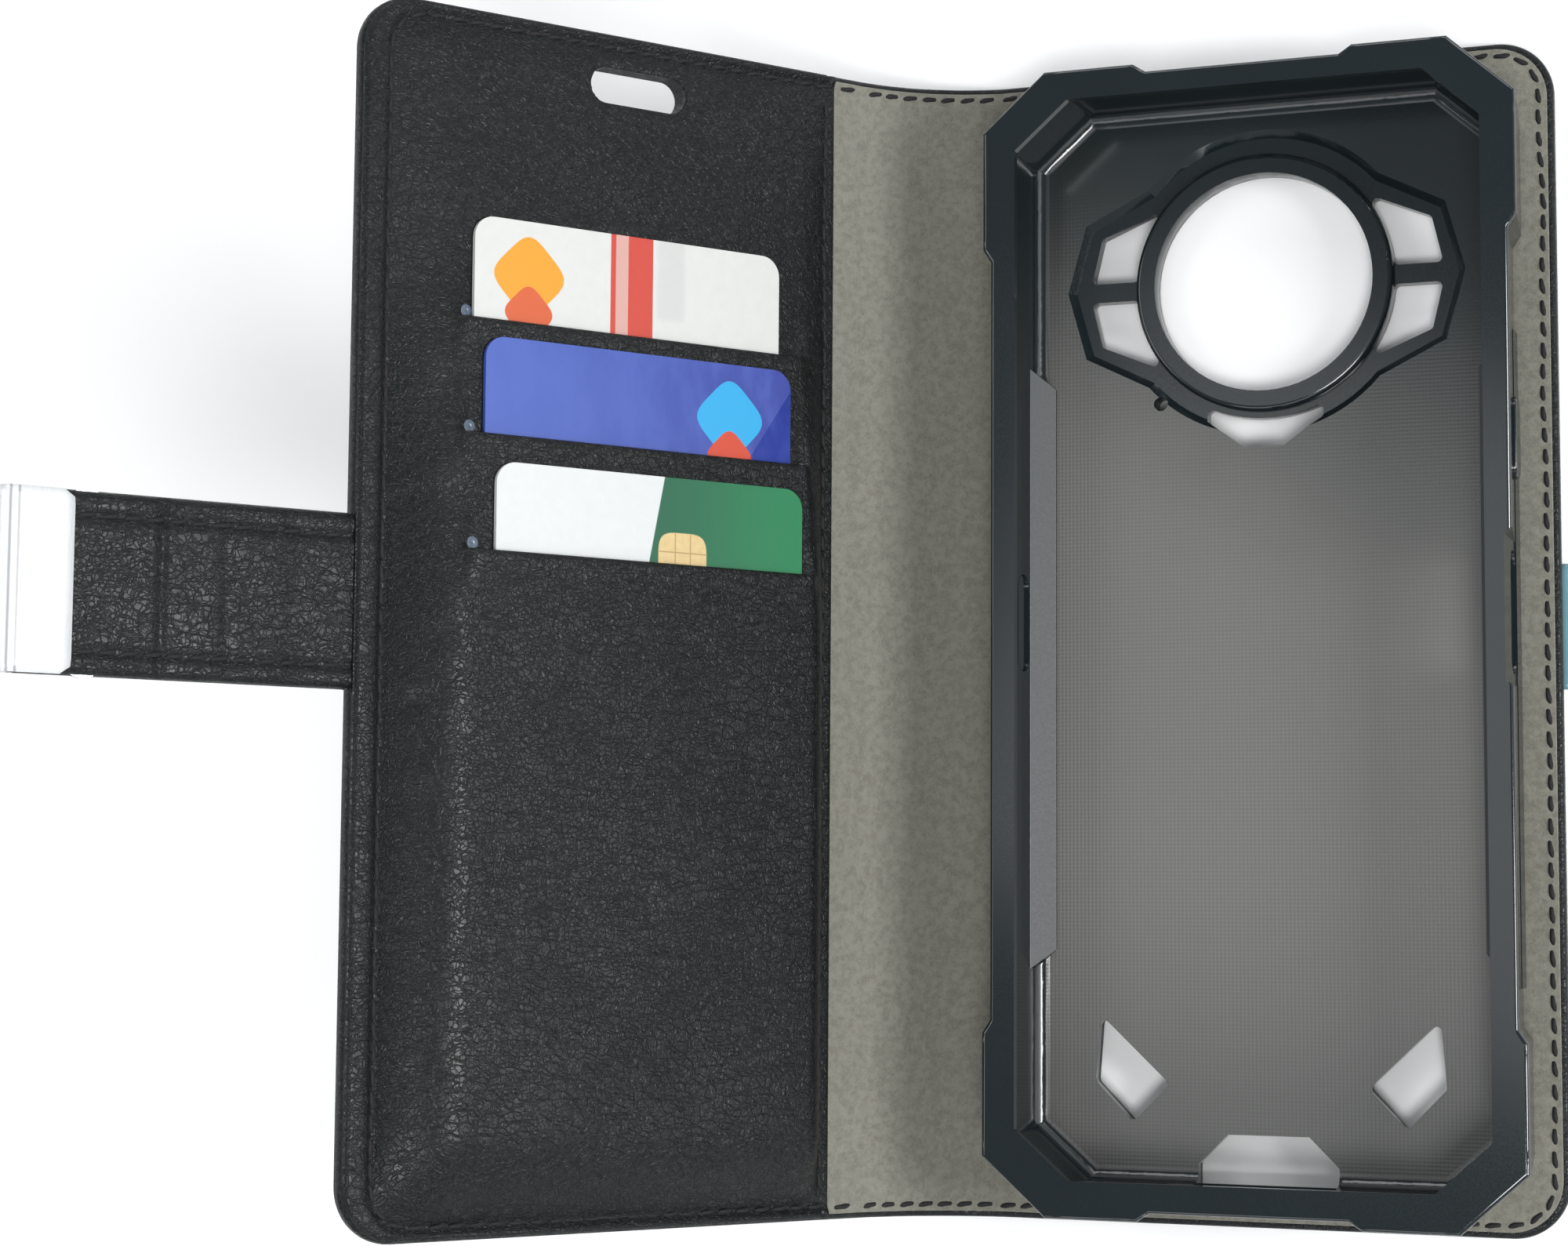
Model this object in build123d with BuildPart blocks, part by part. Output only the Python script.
"""Folio phone wallet case: a hard-wearing inner shell glued into a stitched book cover.

The back cover lies flat with its outer face on Z = 0.  +Y points to the camera end of the
phone bay, +X to the back cover's free edge, and the spine and front cover rise on the -X side.
All lengths are millimetres and all angles are degrees.
"""

from build123d import *
from math import cos, degrees, radians, sin
import os

# ---------------------------------------------------------------- book cover
cover_height = 182.0
back_free_x = 44.75
back_crease_x = -43.0
front_width = 88.6
cover_corner_radius = 8.5
skin_thickness = 0.9
board_thickness = 1.2
lining_thickness = 0.7
turned_edge = 0.8
crease_gap = 0.8
lining_gap = 0.2

# opening of the case as it stands
front_rise_angle = 54.7
spine_chord = 23.9
spine_chord_angle = 31.2

# ---------------------------------------------------------------- stitching
thread_width = 0.6
thread_height = 0.25
front_thread_height = 0.08
back_seam_inset = 2.0
front_seam_inset = 4.4
end_seam_inset = 2.2
strap_seam_inset = 3.4

# ---------------------------------------------------------------- phone shell
shell_end_margin = 3.5
shell_side_margin = 4.75
shell_shift_y = -0.5
shell_depth = 16.9
shell_draft = 1.6
shell_floor = 1.6
shell_wall = 2.0
lip_overhang = 2.0
lip_thickness = 1.5
shell_chamfer_x = 10.0
shell_chamfer_y = 9.0
bumper_step = 1.3
bumper_ramp = 2.0
bumper_from_x = 15.0
bumper_from_y = 59.0
bay_edge_radius = 2.0
bay_corner_trim = 1.0
lip_corner_trim = 1.5
lip_edge_radius = 0.6
adhesive_thickness = 0.3
adhesive_inset = 3.5
cut_overshoot = 1.0

# camera window and its frame
camera_from_end = 31.3
camera_radius = 17.3
camera_ring_width = 3.1
camera_ring_rise = 1.6
frame_recess = 1.3
frame_drop = 2.0
frame_circle_margin = 6.9
cover_window_margin = 9.5
side_rib_width = 3.0
window_radius = 0.8
recess_taper = 40
ring_edge_radius = 0.8
frame_window_gap = 1.0
microphone_x = -16.4
microphone_y = -18.6
microphone_radius = 1.1

# outlines measured from the camera's centre, drawn for one camera radius and scaled with it;
# the frame and side windows give one quarter only
drawn_camera_radius = 17.3
frame_quarter = [(31.5, 0.0), (28.5, 10.8), (10.0, 20.0)]
side_window_quarter = [(28.3, 0.0), (26.2, 8.8), (10.0, 15.6), (10.0, 0.0)]
crescent_half = [(0.0, -26.0), (3.2, -26.0), (9.2, -21.6), (9.2, -16.5), (0.0, -16.5)]

# speaker windows, port notch and side keys
kite_from_end = 22.3
kite_points = [(26.4, 6.9), (15.4, -3.6), (21.2, -9.6), (27.2, -3.4)]
port_half_width = 10.9
port_top_from_end = 11.2
port_chamfer = 4.6
port_wall_height = 9.5
cut_clearance = 0.3
rail_inset = 4.6
rail_height = 3.6
rail_toe_height = 0.6
rail_top_width = 1.2
rail_top_y = 40.2
rail_bottom_y = -48.8
rail_end_run = 5.0
key_height = 4.2
key_rise = 0.8
key_gap = 0.15
key_edge_radius = 0.35
key_level = 8.0
left_key_y = 2.4
left_key_length = 15.0
right_key_y = 28.1
right_key_length = 12.4
side_window_y = 2.0
side_window_length = 18.6
side_window_height = 4.8
scoop_depth = 1.2
scoop_ramp = 2.8
scoop_margin = 1.5
key_wall_gap = 0.2

# ---------------------------------------------------------------- card panel
panel_width = 83.7
panel_edge_gap = 0.3
panel_thickness = 0.6
backing_thickness = 0.3
backing_gap = 0.1
pad_side_inset = 6.5
pad_spine_inset = 4.6
pad_bottom_inset = 6.5
pad_wall = 0.8
pad_corner_radius = 3.0
slot_top_y = 43.9
slot_pitch = 17.4
slot_center = 46.3
slot_width = 57.6
divider_overlap = 3.0
card_width = 53.98
card_height = 85.6
card_thickness = 0.76
card_corner_radius = 3.18
card_gap = 0.1
card_end_gap = 0.5
card_names = ["card_upper", "card_middle", "card_lower"]
card_shows = [15.4, 14.6, 13.2]
card_offsets = [-1.3, 0.0, 1.3]
pill_center = 46.5
pill_from_end = 8.4
pill_length = 16.9
pill_width = 5.6

# ---------------------------------------------------------------- strap and magnets
strap_width = 25.6
strap_center_y = 0.8
strap_skin = 0.8
strap_core = 1.0
strap_core_side_inset = 1.2
strap_core_end_inset = 1.0
strap_lift = 0.1
strap_root_gap = 0.9
strap_tip_length = 23.0
strap_back_clearance = 0.6
strap_hinge_gap = 0.5
strap_tail_length = 11.0
strap_tail_gap = 0.05
strap_corner_radius = 2.0
film_length = 9.5
film_thickness = 0.2
film_end_reach = 0.5
film_seam_gap = 0.3
magnet_radius = 4.0
magnet_pitch = 9.0
magnet_plate_width = 26.0
magnet_plate_length = 40.0
magnet_plate_thickness = 1.0
magnet_plate_edge = 2.6
back_film_width = 30.0
back_film_length = 19.0
back_film_y = 0.6
back_film_tab = 1.1

# ---------------------------------------------------------------- derived places
half_height = cover_height / 2
board_level = skin_thickness
lining_level = board_level + board_thickness
cover_thickness = lining_level + lining_thickness

shell_base = cover_thickness + adhesive_thickness
floor_top = shell_base + shell_floor
lip_top = cover_thickness + shell_depth
lip_under = lip_top - lip_thickness
shell_half_width = back_free_x - shell_side_margin
shell_half_length = half_height - shell_end_margin
shell_top_y = shell_half_length + shell_shift_y
shell_bottom_y = -shell_half_length + shell_shift_y
camera_y = shell_top_y - camera_from_end
kite_y = shell_bottom_y + kite_from_end
port_top_y = shell_bottom_y + port_top_from_end
ring_outer = camera_radius + camera_ring_width
frame_circle_radius = camera_radius + frame_circle_margin
cover_window_radius = camera_radius + cover_window_margin
outline_scale = camera_radius / drawn_camera_radius
recess_level = floor_top - frame_recess
frame_bottom = shell_base - frame_drop
key_z = cover_thickness + key_level
key_wall_outer = shell_half_width - shell_draft * (lip_top - key_z) / (lip_top - shell_base)
key_wall_inner = (shell_half_width - shell_wall
                  - shell_draft * (lip_under - key_z) / (lip_under - floor_top))
key_pad_start_x = key_wall_inner + key_wall_gap
key_pad_thickness = key_wall_outer + key_rise - key_pad_start_x

up = radians(front_rise_angle)
chord = radians(spine_chord_angle)
crease = Vector(back_crease_x, 0, cover_thickness)
front_crease = crease + Vector(-cos(chord), 0, sin(chord)) * spine_chord
front_normal = Vector(sin(up), 0, cos(up))
to_spine = Vector(cos(up), 0, -sin(up))
front_origin = front_crease - to_spine * front_width - front_normal * cover_thickness
front_plane = Plane(origin=front_origin, x_dir=to_spine, z_dir=front_normal)
spine_half_turn = front_rise_angle - spine_chord_angle
spine_radius = spine_chord / 2 / sin(radians(spine_half_turn))
to_center = Vector(sin(chord), 0, cos(chord)) * spine_radius * cos(radians(spine_half_turn))
spine_center = (crease + front_crease) * 0.5 + to_center

backing_level = cover_thickness + backing_gap
panel_level = backing_level + backing_thickness
channel_height = card_thickness + 2 * card_gap
pocket_step = channel_height + panel_thickness
pocket_levels = [panel_level + panel_thickness + i * pocket_step for i in range(3)]
slot_ys = [slot_top_y - i * slot_pitch for i in range(3)]
panel_height = cover_height - 2 * panel_edge_gap
pad_left = pad_side_inset
pad_right = panel_width - pad_spine_inset
pad_bottom = -half_height + pad_bottom_inset
pill_y = half_height - pill_from_end

strap_thickness = 2 * strap_skin + strap_core
strap_inner = strap_lift + strap_thickness
strap_root = -strap_root_gap
strap_mid_length = 2 * cover_thickness + spine_chord - strap_inner + strap_back_clearance
strap_fold = strap_root - strap_mid_length
strap_end = strap_fold - strap_tip_length
strap_low = strap_center_y - strap_width / 2
strap_high = strap_center_y + strap_width / 2

os.makedirs("parts", exist_ok=True)


# ---------------------------------------------------------------- shared outlines
def save(piece, name):
    """Label a finished piece and write it as the STEP of the same name."""
    piece.part.label = name
    export_step(piece.part, f"parts/{name}.step")


def cover_sheet(plane, free_x, crease_x, inset=0.0, free_inset=None):
    """A cover panel: round corners on its free edge, square ones at the crease."""
    side_inset = inset if free_inset is None else free_inset
    edge_x = free_x - side_inset if free_x > crease_x else free_x + side_inset
    top = half_height - inset
    with BuildSketch(plane) as sheet:
        with BuildLine():
            Polyline((crease_x, -top), (edge_x, -top), (edge_x, top), (crease_x, top), close=True)
        make_face()
        free_corners = sheet.vertices().group_by(Axis.X)[-1 if free_x > crease_x else 0]
        fillet(free_corners, cover_corner_radius - max(inset, side_inset) / 2)
    return sheet.sketch


def plate(plane, x_min, x_max, y_min, y_max, radius=0.0):
    """A rectangle given by its limits, with round corners where a radius is given."""
    with BuildSketch(plane) as sketch:
        with Locations(((x_min + x_max) / 2, (y_min + y_max) / 2)):
            Rectangle(x_max - x_min, y_max - y_min)
        if radius:
            fillet(sketch.vertices(), radius)
    return sketch.sketch


def pill_outline(plane):
    """The speaker slot near the top of the front cover."""
    with BuildSketch(plane) as pill:
        with Locations((pill_center, pill_y)):
            SlotOverall(pill_length, pill_width)
    return pill.sketch


def cut_pill(level):
    """Cut the speaker slot through the layer of the front cover being built."""
    pill = pill_outline(front_plane.offset(level - cut_overshoot))
    extrude(pill, amount=3 * cover_thickness, mode=Mode.SUBTRACT)


def octagon(plane, half_width, half_length, trim=0.0):
    """The phone bay's outline, with its four corners cut off."""
    cut_x = shell_chamfer_x - trim
    cut_y = shell_chamfer_y - trim
    right, top = half_width, half_length
    with BuildSketch(plane) as outline:
        with Locations((0, shell_shift_y)):
            with BuildLine():
                Polyline(
                    (right, top - cut_y), (right - cut_x, top), (cut_x - right, top),
                    (-right, top - cut_y), (-right, cut_y - top), (cut_x - right, -top),
                    (right - cut_x, -top), (right, cut_y - top), close=True,
                )
            make_face()
    return outline.sketch


def bumper_outline(plane, half_width, half_length):
    """The shell's outside: an octagon whose four corners stand out as bumpers."""
    wide, long = half_width + bumper_step, half_length + bumper_step
    side, end = bumper_from_y, bumper_from_x
    quadrant = [
        (half_width, side), (wide, side + bumper_ramp), (wide, long - shell_chamfer_y),
        (wide - shell_chamfer_x, long), (end + bumper_ramp, long), (end, half_length),
    ]
    mirrored = [(-x, y) for x, y in reversed(quadrant)]
    lower = [(x, -y) for x, y in reversed(quadrant + mirrored)]
    points = [(x, y + shell_shift_y) for x, y in quadrant + mirrored + lower]
    with BuildSketch(plane) as outline:
        with BuildLine():
            Polyline(*points, close=True)
        make_face()
    return outline.sketch


def key_outline(side, start_x, center_y, length, height, grow=0.0):
    """A round-ended shape that faces outwards through the left (-1) or right (+1) side wall."""
    wall_plane = Plane(origin=(side * start_x, center_y, key_z), x_dir=(0, 1, 0), z_dir=(side, 0, 0))
    with BuildSketch(wall_plane) as key:
        RectangleRounded(length + 2 * grow, height + 2 * grow, height / 2 + grow - 0.1)
    return key.sketch


def round_camera(points):
    """Points drawn from the camera's centre, scaled with its radius and moved to it."""
    return [(x * outline_scale, camera_y + y * outline_scale) for x, y in points]


# Windows through the shell floor: side windows, crescent, microphone hole, kites and port notch
with BuildSketch() as side_windows:
    with BuildLine():
        Polyline(*round_camera(side_window_quarter), close=True)
    make_face()
    mirror(about=Plane.YZ)
    mirror(about=Plane.XZ.offset(-camera_y))
    with Locations((0, camera_y)):
        Rectangle(2 * shell_half_width, side_rib_width, mode=Mode.SUBTRACT)
        Circle(ring_outer, mode=Mode.SUBTRACT)
    fillet(side_windows.vertices(), window_radius * outline_scale)

with BuildSketch() as crescent_window:
    with BuildLine():
        crescent_shift = camera_y + drawn_camera_radius - camera_radius
        Polyline(*[(x, crescent_shift + y) for x, y in crescent_half], close=True)
    make_face()
    mirror(about=Plane.YZ)
    with Locations((0, camera_y)):
        Circle(ring_outer + frame_window_gap, mode=Mode.SUBTRACT)
    fillet(crescent_window.vertices(), window_radius)

with BuildSketch() as kite_windows:
    with BuildLine():
        Polyline(*[(x, kite_y + y) for x, y in kite_points], close=True)
    make_face()
    fillet(kite_windows.vertices(), window_radius)
    mirror(about=Plane.YZ)

with BuildSketch() as port_notch:
    port_low_y = shell_bottom_y + shell_wall + shell_draft
    with BuildLine():
        Polyline(
            (-port_half_width, port_low_y), (-port_half_width, port_top_y - port_chamfer),
            (port_chamfer - port_half_width, port_top_y), (port_half_width - port_chamfer, port_top_y),
            (port_half_width, port_top_y - port_chamfer), (port_half_width, port_low_y), close=True,
        )
    make_face()

with BuildSketch() as camera_frame:
    frame_top = frame_quarter + [(-x, y) for x, y in reversed(frame_quarter)]
    frame_bottom_half = [(-x, -y) for x, y in frame_top[1:-1]]
    with BuildLine():
        Polyline(*round_camera(frame_top + frame_bottom_half), close=True)
    make_face()

with BuildSketch() as recess_outline:
    add(camera_frame.sketch)
    with Locations((0, camera_y)):
        Circle(frame_circle_radius)

with BuildSketch() as cover_windows:
    add(camera_frame.sketch)
    with Locations((0, camera_y)):
        Circle(cover_window_radius)
    add(kite_windows.sketch)
    add(port_notch.sketch)
    offset(amount=cut_clearance)


def cut_cover_windows(level, thickness):
    """Open the layer of the back cover being built behind every window of the shell."""
    with BuildSketch(Plane.XY.offset(level)) as windows:
        add(cover_windows.sketch)
    extrude(windows.sketch, amount=thickness, mode=Mode.SUBTRACT)


# ---------------------------------------------------------------- back cover
film_right = back_free_x + back_film_tab
film_outline = plate(Plane.XY, film_right - back_film_width, film_right,
                     back_film_y - back_film_length / 2, back_film_y + back_film_length / 2)
plate_right = back_free_x - magnet_plate_edge
magnet_outline = plate(Plane.XY.offset(board_level), plate_right - magnet_plate_width, plate_right,
                       strap_center_y - magnet_plate_length / 2, strap_center_y + magnet_plate_length / 2)

with BuildPart() as back_outer_skin:
    extrude(cover_sheet(Plane.XY, back_free_x, back_crease_x + crease_gap), amount=cover_thickness)
    inside = cover_sheet(Plane.XY.offset(board_level), back_free_x, back_crease_x - 1, turned_edge)
    extrude(inside, amount=cover_thickness, mode=Mode.SUBTRACT)
    extrude(film_outline, amount=film_thickness, mode=Mode.SUBTRACT)
    cut_cover_windows(-cut_overshoot, cover_thickness + 2 * cut_overshoot)
save(back_outer_skin, "back_outer_skin")

with BuildPart() as back_board:
    board = cover_sheet(Plane.XY.offset(board_level), back_free_x, back_crease_x + crease_gap, turned_edge)
    extrude(board, amount=board_thickness)
    extrude(magnet_outline, amount=magnet_plate_thickness, mode=Mode.SUBTRACT)
    cut_cover_windows(0, cover_thickness)
save(back_board, "back_board")

with BuildPart() as back_magnet_plate:
    extrude(magnet_outline, amount=magnet_plate_thickness)
save(back_magnet_plate, "back_magnet_plate")

with BuildPart() as back_lining:
    lining = cover_sheet(Plane.XY.offset(lining_level), back_free_x, back_crease_x + lining_gap, turned_edge)
    extrude(lining, amount=lining_thickness)
    cut_cover_windows(0, cover_thickness)
save(back_lining, "back_lining")

with BuildPart() as back_magnet_film:
    extrude(film_outline, amount=film_thickness)
save(back_magnet_film, "back_magnet_film")

with BuildPart() as back_seam_thread:
    seam_plane = Plane.XY.offset(cover_thickness)
    outer = back_seam_inset - thread_width / 2
    inner = back_seam_inset + thread_width / 2
    extrude(cover_sheet(seam_plane, back_free_x, back_crease_x + crease_gap, outer), amount=thread_height)
    extrude(cover_sheet(seam_plane, back_free_x, back_crease_x - 1, inner), amount=thread_height,
            mode=Mode.SUBTRACT)
save(back_seam_thread, "back_seam_thread")

# ---------------------------------------------------------------- phone shell
with BuildPart() as phone_bay:
    bay_width = shell_half_width - shell_wall
    bay_length = shell_half_length - shell_wall
    bay_floor = octagon(Plane.XY.offset(floor_top), bay_width - shell_draft, bay_length - shell_draft,
                        bay_corner_trim)
    bay_top = octagon(Plane.XY.offset(lip_under), bay_width, bay_length, bay_corner_trim)
    loft([bay_floor, bay_top], ruled=True)
    fillet(phone_bay.edges().group_by(Axis.Z)[0], bay_edge_radius)

with BuildPart() as bay_rail:
    rail_wall_x = shell_half_width - shell_wall / 2
    rail_x = shell_half_width - shell_wall - rail_inset
    with BuildSketch(Plane.XY.offset(floor_top - shell_floor / 2)):
        with BuildLine():
            Polyline((rail_wall_x, rail_top_y + rail_end_run), (rail_x, rail_top_y),
                     (rail_x, rail_bottom_y), (rail_wall_x, rail_bottom_y - rail_end_run), close=True)
        make_face()
    extrude(amount=rail_height + shell_floor / 2)
    rail_edge = bay_rail.edges().filter_by(Axis.Y).group_by(Axis.Z)[-1].sort_by(Axis.X)[0]
    rail_face = bay_rail.faces().sort_by(Axis.X)[0]
    chamfer(rail_edge, length=rail_height - rail_toe_height, length2=rail_inset - rail_top_width,
            reference=rail_face)

with BuildPart() as phone_shell:
    shell_foot = bumper_outline(Plane.XY.offset(shell_base), shell_half_width - shell_draft,
                                shell_half_length - shell_draft)
    shell_rim = bumper_outline(Plane.XY.offset(lip_top), shell_half_width, shell_half_length)
    loft([shell_foot, shell_rim], ruled=True)
    fillet(phone_shell.edges().group_by(Axis.Z)[-1], lip_edge_radius)
    add(phone_bay.part, mode=Mode.SUBTRACT)
    lip_opening = octagon(Plane.XY.offset(lip_under - cut_overshoot), bay_width - lip_overhang,
                          bay_length - lip_overhang, lip_corner_trim)
    extrude(lip_opening, amount=lip_thickness + 2 * cut_overshoot, mode=Mode.SUBTRACT)
    add(bay_rail.part)
    mirror(bay_rail.part, about=Plane.YZ)
    with BuildSketch(Plane.XY.offset(floor_top)):
        add(recess_outline.sketch)
    extrude(amount=-frame_recess, taper=recess_taper, mode=Mode.SUBTRACT)
    with BuildSketch(Plane.XY.offset(frame_bottom)):
        add(camera_frame.sketch)
        with Locations((0, camera_y)):
            Circle(cover_window_radius - frame_window_gap)
    extrude(amount=recess_level - frame_bottom)
    with BuildSketch(Plane.XY.offset(frame_bottom)):
        with Locations((0, camera_y)):
            Circle(ring_outer)
    extrude(amount=recess_level + camera_ring_rise - frame_bottom)
    ring_top = phone_shell.edges().filter_by(GeomType.CIRCLE).filter_by_position(
        Axis.Z, recess_level + camera_ring_rise - 0.01, recess_level + camera_ring_rise + 0.01)
    fillet(ring_top, ring_edge_radius)
    with BuildSketch(Plane.XY.offset(0)):
        add(side_windows.sketch)
        add(crescent_window.sketch)
        add(kite_windows.sketch)
        add(port_notch.sketch)
        with Locations((0, camera_y)):
            Circle(camera_radius)
        with Locations((microphone_x, camera_y + microphone_y)):
            Circle(microphone_radius)
    extrude(amount=floor_top + cut_overshoot, mode=Mode.SUBTRACT)
    port_mouth = plate(Plane.XY.offset(floor_top - shell_floor / 2), -port_half_width, port_half_width,
                       shell_bottom_y - bumper_step - cut_overshoot, port_low_y + cut_overshoot)
    extrude(port_mouth, amount=port_wall_height, mode=Mode.SUBTRACT)
    hole_start_x = key_wall_inner - 2 * cut_overshoot
    for side, key_y, length in ((-1, left_key_y, left_key_length), (1, right_key_y, right_key_length)):
        key_hole = key_outline(side, hole_start_x, key_y, length, key_height, key_gap)
        extrude(key_hole, amount=shell_half_width, mode=Mode.SUBTRACT)
    side_window = key_outline(1, hole_start_x, side_window_y, side_window_length, side_window_height)
    extrude(side_window, amount=shell_half_width, mode=Mode.SUBTRACT)
    with BuildSketch(Plane.XY.offset(key_z - side_window_height / 2)):
        scoop_x = shell_half_width - scoop_depth
        outside_x = shell_half_width + 2 * cut_overshoot
        scoop_half = side_window_length / 2 + scoop_margin
        with BuildLine():
            Polyline((outside_x, side_window_y + scoop_half + scoop_ramp),
                     (scoop_x, side_window_y + scoop_half), (scoop_x, side_window_y - scoop_half),
                     (outside_x, side_window_y - scoop_half - scoop_ramp), close=True)
        make_face()
    extrude(amount=shell_depth, mode=Mode.SUBTRACT)
save(phone_shell, "phone_shell")

with BuildPart() as shell_adhesive_pad:
    extrude(octagon(Plane.XY.offset(cover_thickness), shell_half_width - adhesive_inset,
                    shell_half_length - adhesive_inset), amount=adhesive_thickness)
    cut_cover_windows(0, shell_base + cut_overshoot)
save(shell_adhesive_pad, "shell_adhesive_pad")

with BuildPart() as left_key_cover:
    extrude(key_outline(-1, key_pad_start_x, left_key_y, left_key_length, key_height),
            amount=key_pad_thickness)
    fillet(left_key_cover.faces().sort_by(Axis.X)[0].edges(), key_edge_radius)
save(left_key_cover, "left_key_cover")

with BuildPart() as right_key_cover:
    extrude(key_outline(1, key_pad_start_x, right_key_y, right_key_length, key_height),
            amount=key_pad_thickness)
    fillet(right_key_cover.faces().sort_by(Axis.X)[-1].edges(), key_edge_radius)
save(right_key_cover, "right_key_cover")

# ---------------------------------------------------------------- spine
def spine_layer(depth, thickness, gap):
    """A curved strip of the spine, from depth below its lining surface; drawn in the XZ plane."""
    cut = degrees(gap / spine_radius)
    start = 270 - front_rise_angle + cut
    turn = 2 * spine_half_turn - 2 * cut
    center = (spine_center.X, spine_center.Z)
    with BuildSketch(Plane.XZ) as strip:
        with BuildLine():
            inner = CenterArc(center, spine_radius + depth, start, turn)
            outer = CenterArc(center, spine_radius + depth + thickness, start, turn)
            Line(inner @ 0, outer @ 0)
            Line(inner @ 1, outer @ 1)
        make_face()
    return strip.sketch


spine_layers = [
    ("spine_lining", 0.0, lining_thickness, lining_gap),
    ("spine_stiffener", lining_thickness, board_thickness, crease_gap),
    ("spine_outer_skin", lining_thickness + board_thickness, skin_thickness, crease_gap),
]
for layer_name, depth, thickness, gap in spine_layers:
    with BuildPart() as spine_piece:
        extrude(spine_layer(depth, thickness, gap), amount=half_height, both=True)
    save(spine_piece, layer_name)

with BuildPart() as spine_seam_thread:
    bead = spine_layer(-thread_height, thread_height, crease_gap)
    extrude(bead, amount=half_height - back_seam_inset + thread_width / 2, both=True)
    extrude(bead, amount=half_height - back_seam_inset - thread_width / 2, both=True, mode=Mode.SUBTRACT)
save(spine_seam_thread, "spine_seam_thread")

# ---------------------------------------------------------------- front cover
board_plane = front_plane.offset(board_level)
front_crease_x = front_width - crease_gap
tail_slot = plate(board_plane, -cut_overshoot, strap_tail_length + strap_tail_gap,
                  strap_low - strap_tail_gap, strap_high + strap_tail_gap)

with BuildPart() as front_outer_skin:
    extrude(cover_sheet(front_plane, 0, front_crease_x), amount=cover_thickness)
    inside = cover_sheet(board_plane, 0, front_width + 1, turned_edge)
    extrude(inside, amount=cover_thickness, mode=Mode.SUBTRACT)
    extrude(tail_slot, amount=strap_core + strap_tail_gap, mode=Mode.SUBTRACT)
    cut_pill(0)
save(front_outer_skin, "front_outer_skin")

with BuildPart() as front_board:
    extrude(cover_sheet(board_plane, 0, front_crease_x, turned_edge), amount=board_thickness)
    extrude(tail_slot, amount=strap_core + strap_tail_gap, mode=Mode.SUBTRACT)
    cut_pill(0)
save(front_board, "front_board")

with BuildPart() as front_lining:
    lining_plane = front_plane.offset(lining_level)
    extrude(cover_sheet(lining_plane, 0, front_width - lining_gap, turned_edge), amount=lining_thickness)
    cut_pill(0)
save(front_lining, "front_lining")

with BuildPart() as strap_anchor_tail:
    extrude(plate(board_plane, strap_root + strap_hinge_gap, strap_tail_length, strap_low, strap_high),
            amount=strap_core)
save(strap_anchor_tail, "strap_anchor_tail")

# ---------------------------------------------------------------- card panel
slot_left = slot_center - slot_width / 2
slot_right = slot_center + slot_width / 2
pocket_floor_y = pad_bottom + pad_wall

with BuildPart() as panel_backing:
    extrude(cover_sheet(front_plane.offset(backing_level), panel_edge_gap, panel_width, turned_edge),
            amount=backing_thickness)
    cut_pill(0)
save(panel_backing, "panel_backing")

with BuildPart() as card_panel:
    extrude(cover_sheet(front_plane.offset(panel_level), panel_edge_gap, panel_width, panel_edge_gap),
            amount=panel_thickness)
    for level, slot_y in zip(pocket_levels, slot_ys):
        pad_plane = front_plane.offset(level)
        extrude(plate(pad_plane, pad_left, pad_right, pad_bottom, slot_y, pad_corner_radius),
                amount=pocket_step)
    for level, slot_y in zip(pocket_levels, slot_ys):
        pad_plane = front_plane.offset(level)
        hollow = plate(pad_plane, pad_left + pad_wall, pad_right - pad_wall, pocket_floor_y, slot_y - pad_wall)
        extrude(hollow, amount=channel_height, mode=Mode.SUBTRACT)
        mouth = plate(pad_plane, slot_left, slot_right, slot_y - pad_wall - cut_overshoot,
                      slot_y + cut_overshoot)
        extrude(mouth, amount=channel_height, mode=Mode.SUBTRACT)
    for level, slot_y in zip(pocket_levels, slot_ys[1:]):
        divider_plane = front_plane.offset(level + channel_height)
        behind = plate(divider_plane, pad_left + pad_wall, pad_right - pad_wall, pocket_floor_y,
                       slot_y - divider_overlap)
        extrude(behind, amount=panel_thickness, mode=Mode.SUBTRACT)
    cut_pill(0)
save(card_panel, "card_panel")

for divider_name, level, slot_y in zip(("pocket_divider_upper", "pocket_divider_lower"),
                                       pocket_levels, slot_ys[1:]):
    with BuildPart() as divider:
        divider_plane = front_plane.offset(level + channel_height)
        extrude(plate(divider_plane, pad_left + pad_wall, pad_right - pad_wall, pocket_floor_y,
                      slot_y - divider_overlap), amount=panel_thickness)
    save(divider, divider_name)

with BuildPart() as panel_foam:
    for level, slot_y, shows in zip(pocket_levels, slot_ys, card_shows):
        pad_plane = front_plane.offset(level)
        extrude(plate(pad_plane, pad_left + pad_wall, pad_right - pad_wall, pocket_floor_y,
                      slot_y - pad_wall), amount=channel_height)
        card_end = slot_y + shows - card_height
        extrude(plate(pad_plane, slot_left, slot_right, card_end - card_end_gap, slot_y),
                amount=channel_height, mode=Mode.SUBTRACT)
save(panel_foam, "panel_foam")

for card_name, level, slot_y, shows, shift in zip(card_names, pocket_levels, slot_ys, card_shows,
                                                  card_offsets):
    with BuildPart() as card:
        middle = slot_center + shift
        top = slot_y + shows
        extrude(plate(front_plane.offset(level + card_gap), middle - card_width / 2,
                      middle + card_width / 2, top - card_height, top, card_corner_radius),
                amount=card_thickness)
    save(card, card_name)

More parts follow.
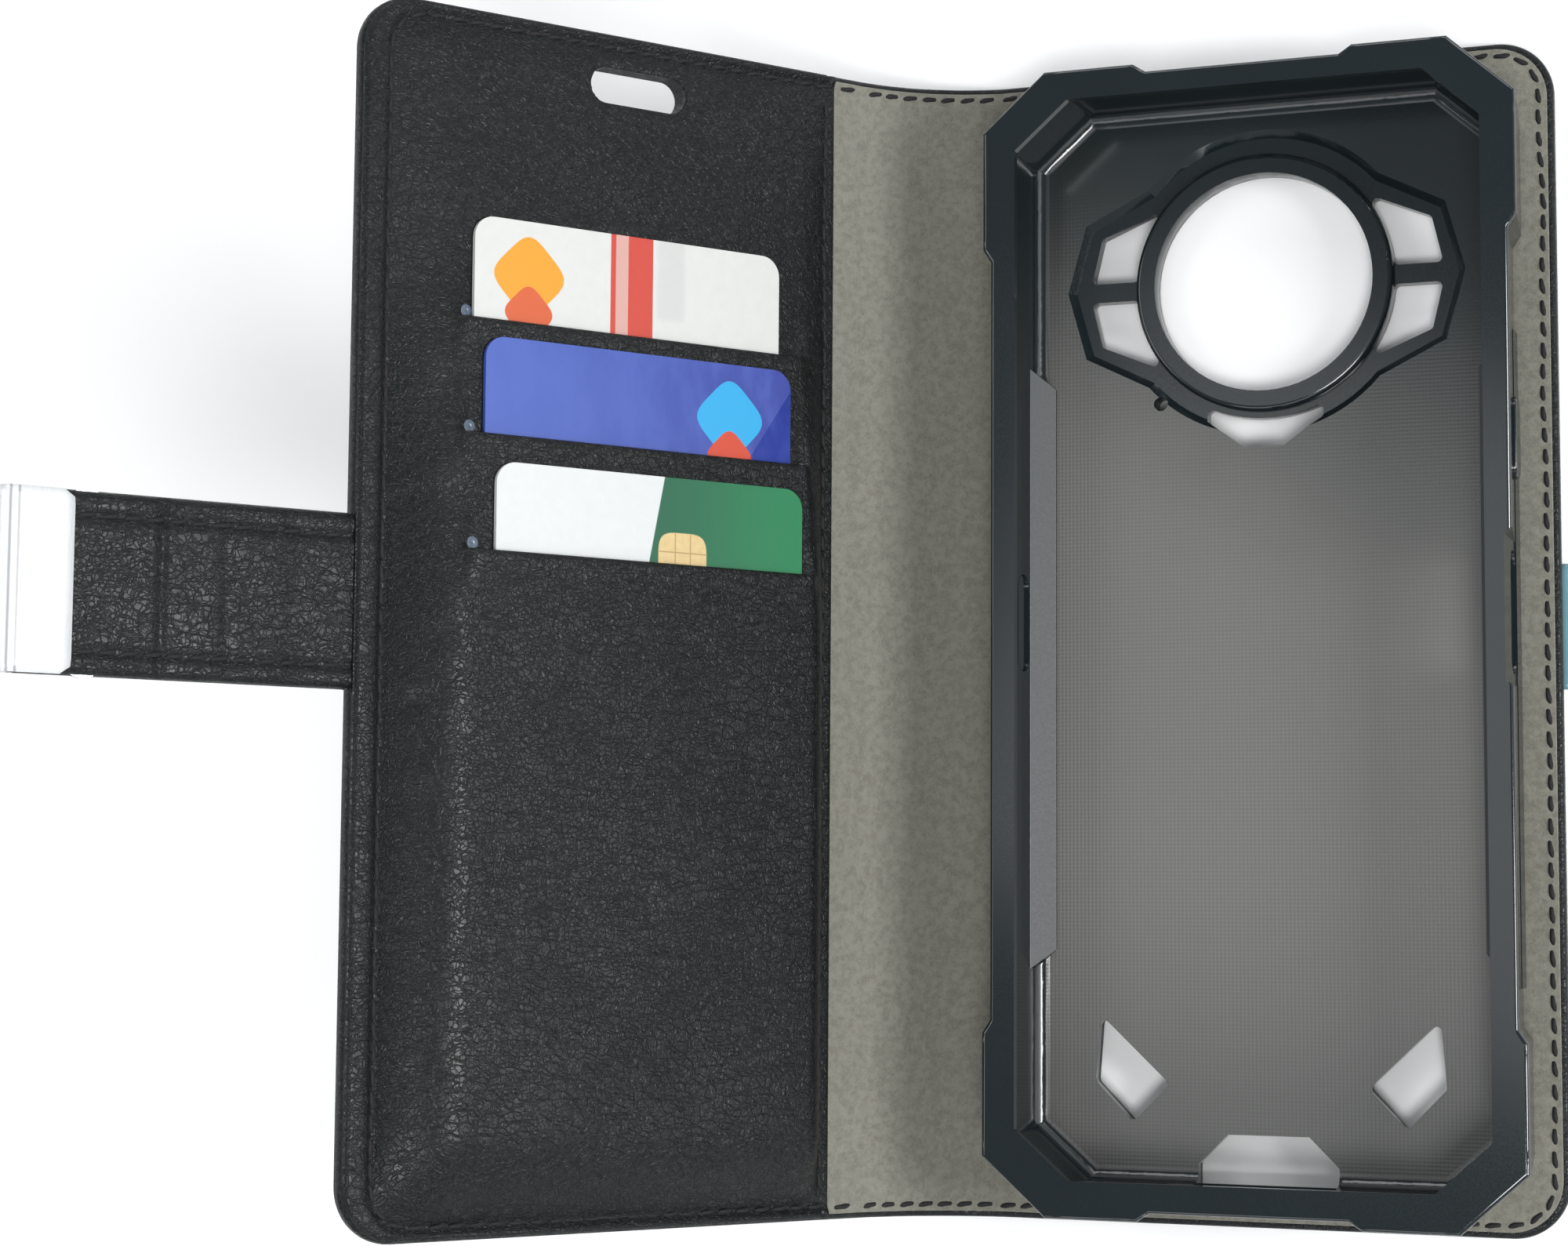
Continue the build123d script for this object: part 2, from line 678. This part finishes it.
with BuildPart() as front_seam_thread:
    seam_plane = front_plane.offset(panel_level + panel_thickness)
    half_thread = thread_width / 2
    # Low enough for the upper card to slide out over it
    extrude(cover_sheet(seam_plane, 0, panel_width - 1, end_seam_inset - half_thread,
                        front_seam_inset - half_thread), amount=front_thread_height)
    extrude(cover_sheet(seam_plane, 0, panel_width, end_seam_inset + half_thread,
                        front_seam_inset + half_thread), amount=front_thread_height, mode=Mode.SUBTRACT)
save(front_seam_thread, "front_seam_thread")

with BuildPart() as panel_edge_thread:
    edge_seam_x = panel_width - back_seam_inset
    extrude(plate(seam_plane, edge_seam_x - half_thread, edge_seam_x + half_thread,
                  -half_height + 2 * end_seam_inset, half_height - 2 * end_seam_inset),
            amount=front_thread_height)
save(panel_edge_thread, "panel_edge_thread")

# ---------------------------------------------------------------- closing strap
segments = [
    ("strap_mid", strap_fold + strap_hinge_gap, strap_root - strap_hinge_gap),
    ("strap_tip", strap_end, strap_fold - strap_hinge_gap),
]
core_level = strap_lift + strap_skin
inner_level = core_level + strap_core
seam_ys = (strap_low + strap_seam_inset, strap_high - strap_seam_inset)
magnet_x = strap_end + strap_tip_length / 2
magnet_spots = [(magnet_x, strap_center_y + i * magnet_pitch) for i in (-1, 0, 1)]
tip_seam_start = strap_end + film_length + film_seam_gap

for segment, x_min, x_max in segments:
    is_tip = segment == "strap_tip"
    for layer_name, level in (("outer_skin", strap_lift), ("inner_skin", inner_level)):
        with BuildPart() as skin:
            extrude(plate(front_plane.offset(level), x_min, x_max, strap_low, strap_high), amount=strap_skin)
            if is_tip:
                end_corners = skin.edges().filter_by(Axis(front_plane.origin, front_plane.z_dir))
                fillet(end_corners.sort_by(Axis.X)[:2], strap_corner_radius)
        save(skin, f"{segment}_{layer_name}")
    with BuildPart() as stiffener:
        extrude(plate(front_plane.offset(core_level), x_min + strap_core_end_inset, x_max,
                      strap_low + strap_core_side_inset, strap_high - strap_core_side_inset),
                amount=strap_core)
        if is_tip:
            with BuildSketch(front_plane.offset(core_level)):
                with Locations(*magnet_spots):
                    Circle(magnet_radius)
            extrude(amount=strap_core, mode=Mode.SUBTRACT)
    save(stiffener, f"{segment}_stiffener")
    with BuildPart() as strap_thread:
        seam_start = tip_seam_start if is_tip else x_min
        for seam_y in seam_ys:
            extrude(plate(front_plane.offset(strap_inner), seam_start, x_max, seam_y - thread_width / 2,
                          seam_y + thread_width / 2), amount=film_thickness)
    save(strap_thread, f"{segment}_thread")

with BuildPart() as strap_magnets:
    with BuildSketch(front_plane.offset(core_level)):
        with Locations(*magnet_spots):
            Circle(magnet_radius)
    extrude(amount=strap_core)
save(strap_magnets, "strap_magnets")

with BuildPart() as strap_tip_film:
    film_end = strap_end - film_end_reach
    extrude(plate(front_plane.offset(strap_inner), film_end, strap_end + film_length,
                  strap_low, strap_high), amount=film_thickness)
    extrude(plate(front_plane.offset(strap_lift), film_end - film_thickness, film_end,
                  strap_low, strap_high), amount=strap_thickness + film_thickness)
save(strap_tip_film, "strap_tip_film")
